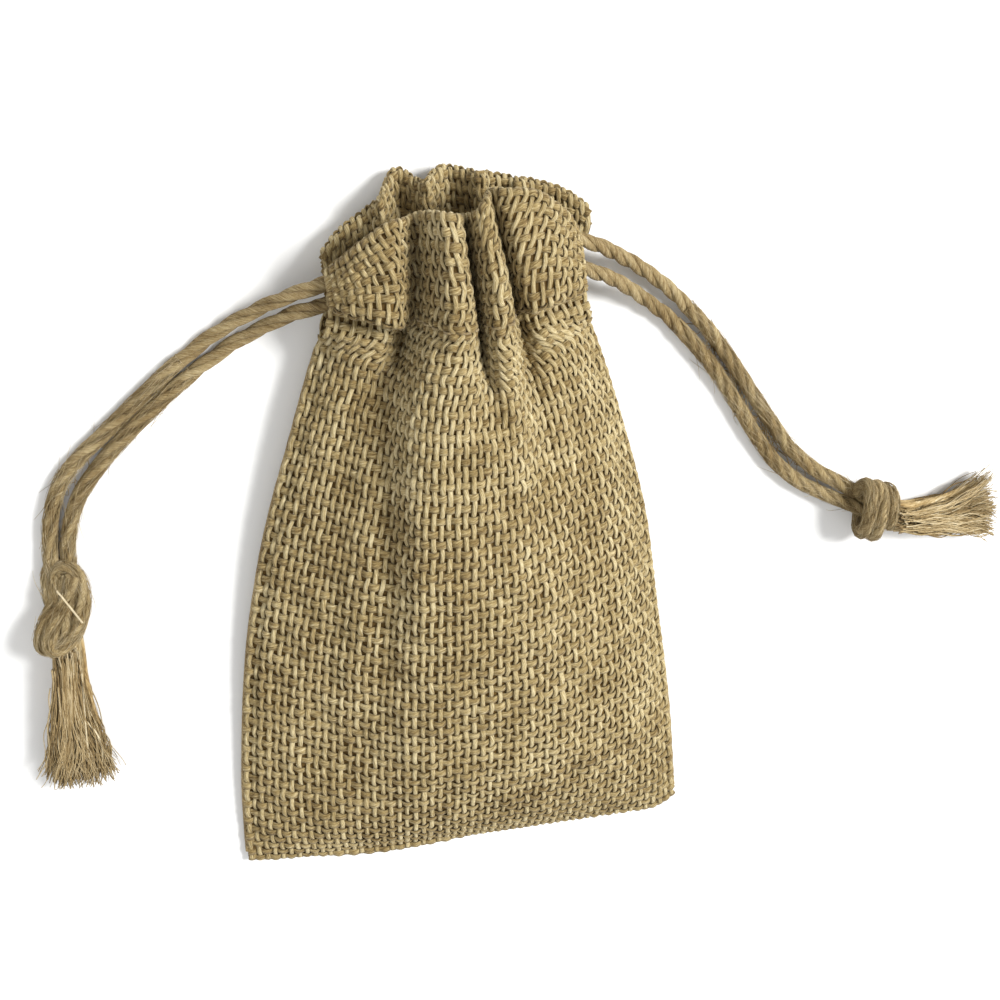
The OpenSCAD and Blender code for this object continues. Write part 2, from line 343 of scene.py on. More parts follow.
LENGTH = 150
BASE_Y = -75.0
BASE_HALF_WIDTH = 50
NECK_HALF_WIDTH = 23.8
PUFF = 25.4
CLOTH_GAP = 0.75
FRONT_TURN_RADIUS = 1.05
BACK_TURN_RADIUS = 1.15
SIZES_Y = [-75, -66, -50, -33, -19, -1, 5, 24, 38, 51, 60]
HALF_WIDTHS = [50, 49.6, 48.5, 46.6, 44.4, 41.2, 39.8, 34, 29.4, 24.6, 23.6]
SIDE_SHIFTS = [-0.4, -0.8, -0.9, -1, -1, -0.2, 0, 0.6, 0.9, 1, 0.6]
HEIGHT_Y = BASE_Y + LENGTH * np.array([0, .02, .05, .087, .167, .267, .367, .467, .567, .667, .74, .81])
HEIGHTS = PUFF * np.array([.06, .2, .34, .46, .66, .81, .91, .97, .99, .96, .9, .82])
# Above here the front rises and the back drops, so that the cords can leave between them
SLIT_Y = 43.5
SLIT_ROW = 0.93
SLIT_RISE, SLIT_DROP = 5.6, 2.2
SEAM_Y = BASE_Y + LENGTH * np.array([0, .1, .3, .5, .7, .81])
SEAM_HEIGHTS = PUFF * np.array([.05, .07, .115, .19, .26, .25])


def smooth_curve(x, y, spread=5.0):
    """A smoothed line through the points, as a function."""
    fine = np.arange(x[0] - 30, x[-1] + 30, 0.5)
    reach = np.arange(-int(3 * spread), int(3 * spread) + 1) * 0.5
    weights = np.exp(-(reach / spread) ** 2)
    before = np.maximum(x[0] - fine, 0) * (y[1] - y[0]) / (x[1] - x[0])
    after = np.maximum(fine - x[-1], 0) * (y[-1] - y[-2]) / (x[-1] - x[-2])
    raw = np.interp(fine, x, y) - before + after
    padded = np.pad(raw, len(reach) // 2, mode="edge")
    table = np.convolve(padded, weights / weights.sum(), mode="valid")
    return lambda at: np.interp(at, fine, table)


half_width = smooth_curve(SIZES_Y, HALF_WIDTHS, 6.0)
side_shift = smooth_curve(SIZES_Y, SIDE_SHIFTS, 6.0)
top_height = smooth_curve(HEIGHT_Y, HEIGHTS, 2.5)
seam_height = smooth_curve(SEAM_Y, SEAM_HEIGHTS, 5.0)

# Where the base fold, the hem line and the two top edges lie, from the left side to the right
BASE_EDGE = ([-50, -39, -19, -9, 2, 14, 31, 41, 46, 50],
             [-73.8, -75, -76.8, -76.2, -75.4, -75.3, -74.6, -74.6, -74.2, -71])
FRONT_HEM = ([-23.6, -16.6, -9.8, -4, 2, 7, 10.8, 16, 22.3, 25],
             [52.2, 50.4, 47.0, 46.0, 45.6, 46.0, 48.6, 50.6, 51.8, 52.4])
FRONT_TOP = ([-24, -20, -16, -11, -7.8, -3, 0.5, 2, 3.5, 6.1, 11, 15, 21.7, 24],
             [57.2, 60.5, 64, 67, 66.6, 68.4, 67.6, 65, 69, 71.6, 71.6, 70.8, 65.2, 60.5])
BACK_TOP = ([-25, -20, -13, -10.8, -9.4, -7.4, -5.6, -4.2, -2.8, -1, 2, 5, 8, 15, 20, 25],
            [58.5, 64, 68, 71.0, 74.0, 74.8, 73.2, 71.0, 73.0, 74.6, 74.2, 73.4, 72.8, 71.4, 69.2, 64.5])
front_base = smooth_curve(*BASE_EDGE, 3.0)
front_hem = smooth_curve(*FRONT_HEM, 2.5)
front_top = smooth_curve(*FRONT_TOP, 1.4)
back_top = smooth_curve(*BACK_TOP, 1.6)


def ease(t):
    t = np.clip(t, 0, 1)
    return t * t * (3 - 2 * t)


def hump(x, middle, width):
    return np.exp(-((x - middle) / width) ** 2)


def valley(x, y, places, depths, widths, slack=1.0):
    """A fold whose place across, depth and width change along it. Its left side is slack times wider."""
    ys = [p[0] for p in places]
    middle = np.interp(y, ys, [p[1] for p in places])
    depth = np.interp(y, ys, depths)
    width = np.interp(y, ys, widths)
    return depth * hump(x, middle, np.where(x < middle, width * slack, width))


# Each fold: (y, x) along its line, then its depth and its width there
FRONT_FOLDS = [
    ([(-52, -14), (-27, -14.2), (-5, -14.2), (16, -14.6), (29, -14.4), (38, -13.2), (43, -10.6), (47, -8.6),
      (58, -7.4), (70, -6.8)],
     [0, 1.7, 3.0, 4.0, 5.0, 7.0, 8.6, 9.8, 10.2, 6.5],
     [4.6, 3.2, 2.8, 2.5, 2.4, 2.4, 2.3, 2.2, 2.1, 1.9], 1.6),
    ([(40, -5.6), (47, -5.0), (58, -4.6), (70, -4.2)], [0, 1.4, 2.2, 1.8], [1.6, 1.3, 1.1, 1.1]),
    ([(26, 4.8), (36, 3.9), (44, 3.3), (52, 2.8), (60, 2.2), (70, 1.8)],
     [0, 2.4, 8.2, 10.0, 9.6, 5.5], [3.6, 2.0, 1.3, 1.15, 1.15, 1.2]),
    ([(-14, 18), (10, 15.6), (30, 13.2), (42, 11.6), (48, 10.4), (58, 9.0), (71, 6.8)],
     [0, 1.6, 3.6, 6.0, 7.4, 6.8, 3.4], [9, 6.5, 4.4, 2.8, 1.7, 1.4, 1.3], 0.8),
    ([(-60, 22), (-30, 24), (0, 25), (26, 21), (44, 17)], [0, 0.9, 1.5, 1.5, 0], [9, 8, 7, 4.5, 3]),
    ([(-62, -30), (-30, -33), (0, -29), (26, -22), (42, -16)], [0, 0.8, 1.3, 1.4, 0], [9, 8, 7, 4, 3]),
]
FRONT_RIDGES = [
    ([(-40, -2), (-10, -2), (20, -3), (36, -3), (46, -2.6), (60, -2.6), (68, -2.4)],
     [0, 0.8, 1.6, 2.2, 2.4, 2.2, 1.6], [16, 12, 7, 5, 3.6, 3.4, 3.2]),
    ([(10, 9), (30, 8.6), (42, 7.4), (50, 6.6), (60, 5.4), (70, 4.4)],
     [0, 1.2, 1.8, 1.8, 1.6, 1.2], [6, 4, 3.0, 2.4, 2.2, 2.2]),
]


def fold_sum(folds, x, y):
    return sum(valley(x, y, *fold) for fold in folds)


def slit(y):
    """Above the side seams the front and the back part, so that the cords can leave. 0 closed, 1 parted."""
    return ease((y - SLIT_Y) / 4.5)


def wing_share(x):
    """1 where the casing stands out over the body as a wing, 0 at the standing pleats and at the ends."""
    left = ease((-8.6 - x) / 2.4)
    right = ease((x - 10.6) / 2.2)
    return (left + right) * (1 - ease((np.abs(x) - 21.0) / 3.2) * 0.55)


def turned_row(v, casing_depth):
    """For each row: its share up the body and up the casing, its turn at the top edge, its depth inside."""
    inner = np.clip(v - 2.14, 0, None) * 26
    up = np.clip(v - 1, 0, 1) - inner / casing_depth
    return np.clip(v, 0, 1), up, np.clip((v - 2) / 0.14, 0, 1) * math.pi, inner


def front_rows(u, v):
    """The front cloth at share u across, -1 to 1, and row v: 0 base, 1 hem, 2 top edge, then turned in."""
    neck_x = NECK_HALF_WIDTH * u
    base_y = front_base(BASE_HALF_WIDTH * u)
    hem_y, top_y = front_hem(neck_x), front_top(neck_x)
    body, up, turn, inner = turned_row(v, top_y - hem_y)
    y = base_y + (hem_y - base_y) * body
    x = half_width(y) * u
    s = seam_height(y) + SLIT_RISE * slit(y)
    crown = 1 - np.abs(u) ** 2.5
    z = s + np.maximum(top_height(y) - s, 0) * crown
    flank = np.clip((-14 - x) / (half_width(y) - 14), 0, 1)
    z = z - 3.4 * np.sin(math.pi * flank ** 0.7) * ease((y + 68) / 30) * ease((47 - y) / 12)
    z = z - wing_share(x) * 5.2 * hump(y - hem_y, 0.5, 7.0) * np.minimum(1, crown * 1.4)
    edge_gap = half_width(y) * (1 - np.abs(u))
    z = z - 0.6 * hump(edge_gap, 2.3, 0.8) * ease((y + 74) / 10)
    # the casing rolls out over the hem line, stands up to its ridge and falls towards its top edge
    casing_crown = 1 - np.abs(u) ** 3.6
    z_casing = 13.6 + 7.6 * casing_crown - 1.8 * up ** 2 - 2.0 * hump(u, 1.0, 0.3) * up
    lift = np.where(v > 1, ease(up / 0.16), 0)
    z = z * (1 - lift) + z_casing * lift
    bulge = wing_share(x) * 1.9 * np.sin(np.pi * np.clip(up / 0.3, 0, 1)) * (1 - up)
    y = y + (top_y - hem_y) * up - bulge
    z = z - fold_sum(FRONT_FOLDS, x, y) + fold_sum(FRONT_RIDGES, x, y)
    x = x + side_shift(y)
    rumple = 0.35 * np.sin(x * 0.55 + y * 0.21 + 1.0) * np.sin(y * 0.33 - x * 0.12)
    rumple += 0.22 * np.sin(x * 0.93 - y * 0.4 + 2.0) * np.sin(y * 0.71 + 0.4)
    z = z + rumple * ease((y + 75) / 12) * ease((1 - np.abs(u)) / 0.12)
    z = z - FRONT_TURN_RADIUS * (1 - np.cos(turn)) - 0.4 * ease(inner / 6)
    return x, y + FRONT_TURN_RADIUS * np.sin(turn), z


BACK_FOLDS = [
    ([(10, -14), (34, -13.6), (46, -13.2), (58, -13), (66, -12.6)],
     [0, 1.4, 3.4, 4.4, 3.6], [5, 3, 1.6, 1.3, 1.3]),
    ([(20, -3.6), (38, -3.6), (46, -3.8), (58, -3.8), (72, -3.8)],
     [0, 1.2, 3.4, 4.4, 3.0], [5, 3, 1.6, 1.2, 1.0]),
    ([(0, 8), (30, 8), (46, 7.4), (58, 7), (74, 6.4)], [0, 1.6, 3.8, 4.6, 3.2], [6, 3.2, 1.6, 1.3, 1.2]),
    ([(24, 17), (40, 16), (50, 15.6), (60, 15), (72, 14)], [0, 1.4, 3.0, 3.6, 2.0], [5, 3, 1.5, 1.3, 1.3]),
]


def back_rows(u, v):
    """The back cloth, in the same measures. It lies flat, and is pleated at the neck."""
    neck_x = NECK_HALF_WIDTH * u
    base_y = front_base(BASE_HALF_WIDTH * u)
    hem_y, top_y = front_hem(neck_x), back_top(neck_x)
    body, up, turn, _ = turned_row(v, top_y - hem_y)
    y = base_y + (hem_y - base_y) * body
    x = half_width(y) * u
    s = seam_height(y) - SLIT_DROP * slit(y)
    rise = (np.clip(np.abs(u) - 0.5, 0, None) * 2) ** 2
    z = CLOTH_GAP + (s - CLOTH_GAP) * rise
    z_casing = CLOTH_GAP + 4.4 * np.clip(np.abs(u) - 0.35, 0, None) ** 2 / 0.4225
    lift = ease(up / 0.5)
    z = z * (1 - lift) + z_casing * lift
    y = y + (top_y - hem_y) * up
    x = x + side_shift(y) + 2.8 * ease((u - 0.5) / 0.5) * ease((y - 57) / 7)
    z = z + fold_sum(BACK_FOLDS, x, y)
    ruffle = 3.6 - 3.0 * hump(x, -8.2, 2.4) - 2.6 * hump(x, 1.2, 2.4)
    z = z + ease((up - 0.45) / 0.55) * ruffle * (1 - u * u)
    z = np.maximum(z, CLOTH_GAP) + BACK_TURN_RADIUS * (1 - np.cos(turn))
    return x, y + BACK_TURN_RADIUS * np.sin(turn), z


# The last row of the hem that is turned in
INNER_ROW = 2.62


class Cloth:
    """A sampled surface, read at a share across, evenly spaced along each row, and a row."""

    def __init__(self, rows, n_across=420, n_rows=520):
        u = np.linspace(-1, 1, n_across)
        self.v = np.linspace(0, INNER_ROW, n_rows)
        uu, vv = np.meshgrid(u, self.v)
        grid = np.stack(rows(uu, vv), -1)
        steps = np.linalg.norm(np.diff(grid, axis=1), axis=2)
        lengths = np.concatenate([np.zeros((n_rows, 1)), np.cumsum(steps, 1)], 1)
        self.shares = np.linspace(0, 1, n_across)
        even = np.empty_like(grid)
        for i in range(n_rows):
            part = lengths[i] / lengths[i, -1]
            for k in range(3):
                even[i, :, k] = np.interp(self.shares, part, grid[i, :, k])
        self.grid = even
        across = np.gradient(even, axis=1)
        along = np.gradient(even, axis=0)
        normal = np.cross(across, along)
        size = np.linalg.norm(normal, axis=2, keepdims=True)
        self.normals = normal / np.maximum(size, 1e-9)
        heights = np.linalg.norm(np.diff(even, axis=0), axis=2)
        self.length = np.concatenate([[0], np.cumsum(heights.mean(1))])

    def row_at(self, length):
        return np.interp(length, self.length, self.v)

    def read(self, table, share, row):
        """The table's values at each share and row, which have the same shape."""
        a = np.clip(share, 0, 1) * (len(self.shares) - 1)
        b = np.clip(row / self.v[-1], 0, 1) * (len(self.v) - 1)
        i, j = np.minimum(a.astype(int), len(self.shares) - 2), np.minimum(b.astype(int), len(self.v) - 2)
        fa, fb = (a - i)[..., None], (b - j)[..., None]
        low = table[j, i] * (1 - fa) + table[j, i + 1] * fa
        high = table[j + 1, i] * (1 - fa) + table[j + 1, i + 1] * fa
        return low * (1 - fb) + high * fb

    def at(self, share, row, out=0.0):
        """Points and outward directions, moved out of the surface by out millimetres."""
        share, row = np.broadcast_arrays(np.asarray(share, float), np.asarray(row, float))
        normal = self.read(self.normals, share, row)
        normal = normal / np.maximum(np.linalg.norm(normal, axis=-1, keepdims=True), 1e-9)
        return self.read(self.grid, share, row) + normal * np.asarray(out)[..., None], normal


WARPS = 57
WEFT_PITCH = 2.4
WARP_W, WARP_T = 1.04, 0.62
WEFT_W, WEFT_T = 1.66, 0.54
# How far a yarn rises and sinks as it passes over and under
LIFT = 0.34
# Tint taken off every yarn above the hem line: painted shade on the gathered neck and its casing
NECK_PAINTED_SHADE = 0.35
# Points on a yarn from one crossing to the next
STEPS = 4
SKIN_DEPTH = 0.3
STITCHES = 25
STITCH_ROW = 1.09


def wander(n, pitch, amount):
    """A slow random drift with n values, one knot every pitch of them."""
    knots = RNG.normal(0, amount, int(n / pitch) + 4)
    return np.interp(np.arange(n) / pitch, np.arange(len(knots)), knots)


def weave(cloth):
    """Warp and weft lines of the cloth: those of the panel, then those of the neck above the hem line."""
    panel, neck = (Lines(), Lines()), (Lines(), Lines())
    hem = math.floor(np.interp(1.0, cloth.v, cloth.length) / WEFT_PITCH)
    last = math.floor(cloth.length[-1] / WEFT_PITCH)
    crossings = np.arange(-0.4, last + 0.4, 1 / STEPS)
    rows = cloth.row_at(crossings * WEFT_PITCH)
    split = int(np.searchsorted(crossings, hem + 0.5))
    for i in range(WARPS):
        out = LIFT * np.cos(math.pi * (crossings + i))
        share = (i + 0.5 + wander(len(rows), 9, 0.06)) / WARPS
        points, sides = cloth.at(share, rows, out)
        swell = np.clip(1 + wander(len(rows), 13, 0.1), 0.72, 1.3)
        # Warps take a lighter tint than the wefts, which carry painted shade where they lie between the warp
        # floats
        tint = RNG.random() + 0.5
        panel[0].add(points[:split + 1], sides[:split + 1], swell[:split + 1], tint)
        start = split * WEFT_PITCH / STEPS
        # the neck's warps carry painted shade
        neck[0].add(points[split:], sides[split:], swell[split:], tint - NECK_PAINTED_SHADE, start)
    columns = np.linspace(-0.42, WARPS - 0.58, WARPS * STEPS)
    for j in range(last + 1):
        out = -LIFT * np.cos(math.pi * (columns + j))
        rows = cloth.row_at((j + wander(len(columns), 12, 0.05)) * WEFT_PITCH)
        points, sides = cloth.at((columns + 0.5) / WARPS, rows, out)
        swell = np.clip(1 + wander(len(columns), 15, 0.12), 0.7, 1.35)
        # a darker tint than the warps: painted shade on the wefts between the warp floats
        tint = RNG.random() - 0.6
        if j <= hem:
            panel[1].add(points, sides, swell, tint)
        else:
            # the neck's wefts carry painted shade
            neck[1].add(points, sides, swell, tint - NECK_PAINTED_SHADE)
    return panel, neck


def bend_with_mouth(piece):
    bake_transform(piece)


def woven_pieces(cloth, name, panel_nodes, neck_nodes):
    """The warp and weft of the cloth's panel and neck, drawn in place of the CAD nodes, which are hidden."""
    made = []
    for part, nodes, (warps, wefts) in zip(("_panel", "_neck"), (panel_nodes, neck_nodes), weave(cloth)):
        warp = strands(name + part + "_warp", warps, WARP_W, WARP_T, BURLAP)
        weft = strands(name + part + "_weft", wefts, WEFT_W, WEFT_T, BURLAP)
        for piece in (warp, weft):
            bend_with_mouth(piece)
        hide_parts(*nodes)
        made += [warp, weft]
    return made


def backing_sheet(front, back):
    """The cloth under its raised yarns: one skin round the front, the back and both turned-in hems."""
    n_across, n_rows = 121, 170
    share = np.linspace(0, 1, n_across)
    rows = np.linspace(0, INNER_ROW, n_rows)
    seam_end = int(np.searchsorted(rows, SLIT_ROW))
    points, faces = [], []
    ids = {}
    for name, cloth in (("front", front), ("back", back)):
        aa, rr = np.meshgrid(share, rows)
        place, _ = cloth.at(aa, rr, np.full(aa.shape, -SKIN_DEPTH))
        own = np.zeros(aa.shape, int)
        for j in range(n_rows):
            for i in range(n_across):
                joined = name == "back" and (j == 0 or (j <= seam_end and i in (0, n_across - 1)))
                if joined:
                    own[j, i] = ids["front"][j, i]
                else:
                    own[j, i] = len(points)
                    points.append(place[j, i])
        ids[name] = own
        quads = np.stack([own[:-1, :-1], own[:-1, 1:], own[1:, 1:], own[1:, :-1]], -1).reshape(-1, 4)
        faces += (quads if name == "front" else quads[:, ::-1]).tolist()
    mesh = bpy.data.meshes.new("pouch_cloth")
    mesh.from_pydata([tuple(np.array(p) * MM) for p in points], [], faces)
    # dark painted shade, seen through the gaps of the weave
    mesh.materials.append(BACKING_PAINTED_SHADE)
    mesh.shade_smooth()
    piece = bpy.data.objects.new("pouch_cloth", mesh)
    bpy.context.scene.collection.objects.link(piece)
    return piece


def hem_stitches(cloth, name, node, row):
    """A row of thread stitches through the casing, each sunk at its ends."""
    lines = Lines()
    for i in range(STITCHES):
        share = np.linspace(i + 0.14, i + 0.86, 7) / STITCHES
        dip = 0.62 - 0.7 * np.abs(np.linspace(-1, 1, 7)) ** 3
        points, sides = cloth.at(share, np.full(7, row), dip)
        lines.add(points, sides)
    piece = strands(name, lines, 0.5, 0.42, THREAD)
    bend_with_mouth(piece)
    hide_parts(node)
    return piece


def side_seam(cloth, name, side, node):
    """The edge of the pouch: the two cloths' last warps sewn together, with the cut edges turned inside."""
    lines = Lines()
    lengths = np.arange(2.0, np.interp(SLIT_ROW, cloth.v, cloth.length), 0.8)
    rows = cloth.row_at(lengths)
    edge, out = cloth.at(np.full(len(rows), 0.0 if side < 0 else 1.0), rows, 0.0)
    inward = np.array([-side, 0, 0])
    for depth, drop in ((0.1, 0.25), (1.3, 0.5), (2.4, 0.6), (3.4, 0.6)):
        wave = 0.22 * np.cos(math.pi * lengths / WEFT_PITCH + depth * 2)
        place = edge + inward * depth + np.array([0, 0, -1]) * (drop + wave)[:, None]
        lines.add(place, out, 1 + wander(len(rows), 11, 0.1))
    for length in np.arange(3.0, lengths[-1], 1.5):
        spot = np.array([np.interp(length, lengths, edge[:, k]) for k in range(3)])
        turn = np.linspace(-0.9, 2.6, 8)
        reach = 0.75 - 0.55 * np.cos(turn)
        round_edge = np.stack([0 * turn, 0.5 * turn, 0.55 * np.sin(turn) - 0.3], 1)
        place = spot + np.outer(reach, inward) + round_edge
        lines.add(place, np.array([0, 0, 1.0]), 0.7)
    piece = strands(name, lines, 1.0, 0.6, BURLAP_EDGE)
    bend_with_mouth(piece)
    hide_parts(node)
    return piece


# ---------------------------------------------------------------- cords

CORD_D = 3.0
LEFT_OUTER = [(-16, 57.2, 10), (-20, 56.8, 10), (-24.5, 55.8, 9.8), (-31, 53.6, 7.8), (-37, 50.9, 4.9),
              (-43, 47.6, 2.6), (-49.5, 43.4, 1.6), (-55, 39.4, 1.6), (-60.2, 35.1, 1.6), (-65, 31, 1.6),
              (-69.6, 27, 1.6), (-74.4, 22.8, 1.6), (-78.6, 17.6, 1.6), (-81, 11.2, 1.6), (-82, 5, 1.6),
              (-82.2, -0.6, 2.4), (-82, -5, 3.8)]
LEFT_INNER = [(-16, 52.4, 10), (-20, 52.3, 10), (-23.8, 52, 9.8), (-29.6, 50.4, 7.8), (-35.2, 47.8, 4.9),
              (-41.2, 44.6, 2.6), (-47.6, 40.6, 1.6), (-53, 36.8, 1.6), (-58.1, 32.7, 1.6),
              (-62.8, 28.7, 1.6), (-67, 24.8, 1.6), (-70.8, 20.8, 1.6), (-74.6, 16, 1.6),
              (-77.3, 10.2, 1.6), (-78.6, 4.6, 1.6), (-79, -0.6, 2.4), (-79.2, -5, 3.8)]
RIGHT_OUTER = [(16, 62.4, 10), (20, 62.4, 10), (24.6, 61.4, 9.6), (30, 59.3, 7.2), (35, 56.6, 4.4),
               (40, 53.4, 2.4), (46, 48.7, 1.6), (51.5, 43.2, 1.6), (56.5, 37.2, 1.6), (61, 30.9, 1.6),
               (65.3, 24.4, 1.6), (69.8, 17.8, 1.6), (74.4, 11.6, 1.6), (79.8, 6.8, 1.6), (85.4, 3.4, 2.4),
               (90.4, 0.2, 3.8)]
RIGHT_INNER = [(16, 56.6, 10), (20, 56.6, 10), (24.6, 56.1, 9.6), (30.2, 53.8, 7.2), (35.6, 50.8, 4.4),
               (40.8, 47.1, 2.4), (46, 42.8, 1.6), (50.6, 38, 1.6), (54.8, 32.9, 1.6), (58.8, 27.2, 1.6),
               (62.4, 21.4, 1.6), (66, 15.6, 1.6), (70, 10, 1.6), (75.2, 5, 1.6), (81.6, 1.2, 2),
               (88, -1.6, 3.6)]
LEFT_KNOT, LEFT_KNOT_TURN = (-80.8, -10.2, 4.8), math.radians(-93)
RIGHT_KNOT, RIGHT_KNOT_TURN = (94.8, -3.6, 5.3), math.radians(-20)
LEFT_TASSEL = [(-81.1, -14, 4.0), (-81.3, -18.4, 3.4), (-81.9, -26, 3.1), (-82.6, -36, 2.7),
               (-83.4, -48.5, 2.2)]
LEFT_TASSEL_WIDTHS = [5.6, 6, 8, 11, 14]
RIGHT_TASSEL = [(95.5, -4.2, 4.6), (101.6, -5.6, 3.6), (108, -6.2, 3.2), (115.5, -6.4, 2.8),
                (122.8, -6.6, 2.4)]
RIGHT_TASSEL_WIDTHS = [6.5, 7, 9, 10.6, 11]
# The size of each tied knot, and how its strands go round in it
LEFT_TIE = dict(size=(19, 9.4, 9.4), shift=3.4, lean=0.16)
RIGHT_TIE = dict(size=(11.5, 14, 10), shift=2.4, wraps=1.5, lean=-1.0, sway=0.4)
# A point on each side's strands; its loose fibres grow on the strands past it
LEFT_SWING, RIGHT_SWING = (-48.6, 42, 1.6), (46, 45.8, 1.6)
# Long pale fibres that have come loose, one list of points each
LEFT_STRAYS = [
    [(-80.7, -1.2, 9.2), (-79.5, -2.8, 10.0), (-78.1, -5.4, 10.1), (-76.9, -8.9, 8.6)],
    [(-85.2, -27.5, 5.2), (-81.2, -29.9, 6.3), (-77.9, -35.8, 5.8), (-77.6, -41.4, 5.0),
     (-78.9, -44.3, 4.8), (-80.1, -40.9, 5.4), (-79.8, -33, 6.3), (-79.0, -21.2, 6.2)]]
RIGHT_STRAYS = [
    [(98, -3.5, 8.6), (100.6, -7, 7.2), (103.5, -9.2, 6.2), (106, -8.0, 6.3), (108.5, -9.6, 5.6)]]
PLIES = 3
# How far along a cord each ply goes round once
LEFT_LAY = 22.0
RIGHT_LAY = 13.5
# The runs in the front casing, as (x, z), pass under its folds. Those in the back casing sag a little
FRONT_DIPS = [(-15, 11.5), (-12, 9.5), (-8.5, 8.0), (-3.5, 11.5), (2.5, 8.0), (6, 10), (9.5, 9.0),
              (15, 11.5)]
BACK_SAG = [(-16, 5.2), (0, 4.6), (16, 5.2)]
LEFT_RUN_Y, RIGHT_RUN_Y = 53.6, 58.4


def smooth_path(points, step=0.45):
    """Evenly spaced points on a smooth curve through the given ones."""
    p = np.asarray(points, float)
    p = np.vstack([2 * p[0] - p[1], p, 2 * p[-1] - p[-2]])
    t = np.linspace(0, 1, 24, endpoint=False)[:, None]
    fine = []
    for a, b, c, d in zip(p, p[1:], p[2:], p[3:]):
        fine.append(0.5 * (2 * b + (c - a) * t + (2 * a - 5 * b + 4 * c - d) * t ** 2
                           + (3 * b - a - 3 * c + d) * t ** 3))
    fine = np.vstack(fine + [p[-2:-1]])
    length = np.concatenate([[0], np.cumsum(np.linalg.norm(np.diff(fine, axis=0), axis=1))])
    even = np.linspace(0, length[-1], max(2, int(length[-1] / step)))
    return np.stack([np.interp(even, length, fine[:, k]) for k in range(3)], 1), even


def frames(path):
    """Directions along a path and two square to it, turned as little as possible."""
    along = np.gradient(path, axis=0)
    along /= np.linalg.norm(along, axis=1, keepdims=True)
    first = np.cross(along[0], (0, 0, 1) if abs(along[0][2]) < 0.9 else (1, 0, 0))
    sides = [first / np.linalg.norm(first)]
    for a in along[1:]:
        side = sides[-1] - a * (sides[-1] @ a)
        sides.append(side / np.linalg.norm(side))
    sides = np.array(sides)
    return along, sides, np.cross(along, sides)


def add_laid_cord(lines, path, length, diameter, lay, phase=0.0):
    """Three plies laid round each other along a path."""
    _, side, up = frames(path)
    drift = wander(len(path), 40, 0.25)
    for ply in range(PLIES):
        turn = 2 * math.pi * (length / lay + ply / PLIES) + phase + drift
        out = side * np.cos(turn)[:, None] + up * np.sin(turn)[:, None]
        loose = 1 + wander(len(path), 30, 0.06)
        lines.add(path + out * (diameter * 0.25 * loose)[:, None], out, 1 + wander(len(path), 22, 0.06))


def free_cord(name, route, inside, nodes, lay, phase):
    """One free strand from the casing to its knot. Its last point, inside, is hidden in the knot."""
    path, length = smooth_path(route + [inside])
    lines = Lines()
    add_laid_cord(lines, path, length, CORD_D, lay, phase)
    piece = strands(name, lines, CORD_D * 0.58, CORD_D * 0.53, JUTE, sides=10)
    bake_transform(piece)
    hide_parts(*nodes)
    return piece, path, length[-1]


def add_fuzz(lines, path, count, reach, spread, radii=(1.35, 1.3)):
    """Short loose fibres that follow a strand, or a knot, and rise a little from it."""
    _, side, up = frames(path)
    pitch = np.linalg.norm(path[1] - path[0])
    places = np.arange(len(path))
    for _ in range(count):
        size = reach * RNG.uniform(0.4, 1.0)
        t = np.linspace(0, 1, 8)
        at = RNG.integers(0, len(path)) + RNG.choice((-1, 1)) * t * size / pitch
        base, s, u = [np.stack([np.interp(at, places, table[:, k]) for k in range(3)], 1)
                      for table in (path, side, up)]
        turn = RNG.uniform(0, 2 * math.pi) + RNG.normal(0, 0.16) * t * size
        skin = s * (np.cos(turn) * radii[0])[:, None] + u * (np.sin(turn) * radii[1])[:, None]
        out = skin / np.linalg.norm(skin, axis=1, keepdims=True)
        away = RNG.uniform(0.02, 1) ** 1.5 * spread * size * t ** 1.5
        place = base + skin + out * away[:, None]
        place[:, 2] = np.maximum(place[:, 2], 0.12)
        lines.add(place, out, 1 - 0.6 * t, tint=RNG.uniform(-0.6, 2.2))


def add_tangle(lines, path_a, path_b, count):
    """Long curly fibres pulled from one strand that lie across to the other."""
    for _ in range(count):
        i = int(RNG.integers(10, len(path_a) - 60))
        j = min(i + int(RNG.integers(-20, 60)), len(path_b) - 12)
        t = np.linspace(0, 1, 16)
        place = path_a[i] * (1 - t)[:, None] + path_b[max(j, 0)] * t[:, None]
        for k, amount in ((0, 1.2), (1, 1.2), (2, 0.35)):
            for waves in (1.5, 3.2):
                bend = amount / waves * RNG.normal()
                place[:, k] += bend * np.sin(t * waves * 2 * math.pi + RNG.uniform(0, 6))
        place[:, 2] = np.clip(place[:, 2], 0.15, 12)
        lines.add(place, (0, 0, 1), 1.15, tint=RNG.uniform(-1.5, 0.6))


def local_points(points, at, turn):
    """Points with x along a knot or tassel, moved to their place."""
    c, s = math.cos(turn), math.sin(turn)
    p = np.asarray(points, float)
    x = p[:, 0] * c - p[:, 1] * s + at[0]
    y = p[:, 0] * s + p[:, 1] * c + at[1]
    return np.stack([x, y, p[:, 2] + at[2]], 1)


def wrapped_path(size, cord, shift, wraps, lean, sway, k):
    """A strand that goes round the knot wraps times. k is -1 or 1, for the two strands."""
    length, width, height = size
    angle = np.linspace(-0.3 * math.pi, (2 * wraps - 0.3) * math.pi, 14 + int(8 * wraps))
    t = np.linspace(0, 1, len(angle))
    draw_in = 1 - 0.5 * hump(t, 0, 0.09) - 0.5 * hump(t, 1, 0.09)
    x = (t - 0.5) * (length - 2.2 * cord) - shift + k * cord * 0.44 + lean * np.cos(angle)
    y = np.cos(angle) * (width - cord) / 2 * draw_in + sway * (1 - 2 * t)
    z = np.sin(angle) * (height - cord) / 2 * draw_in
    return np.stack([x, y, z], 1)


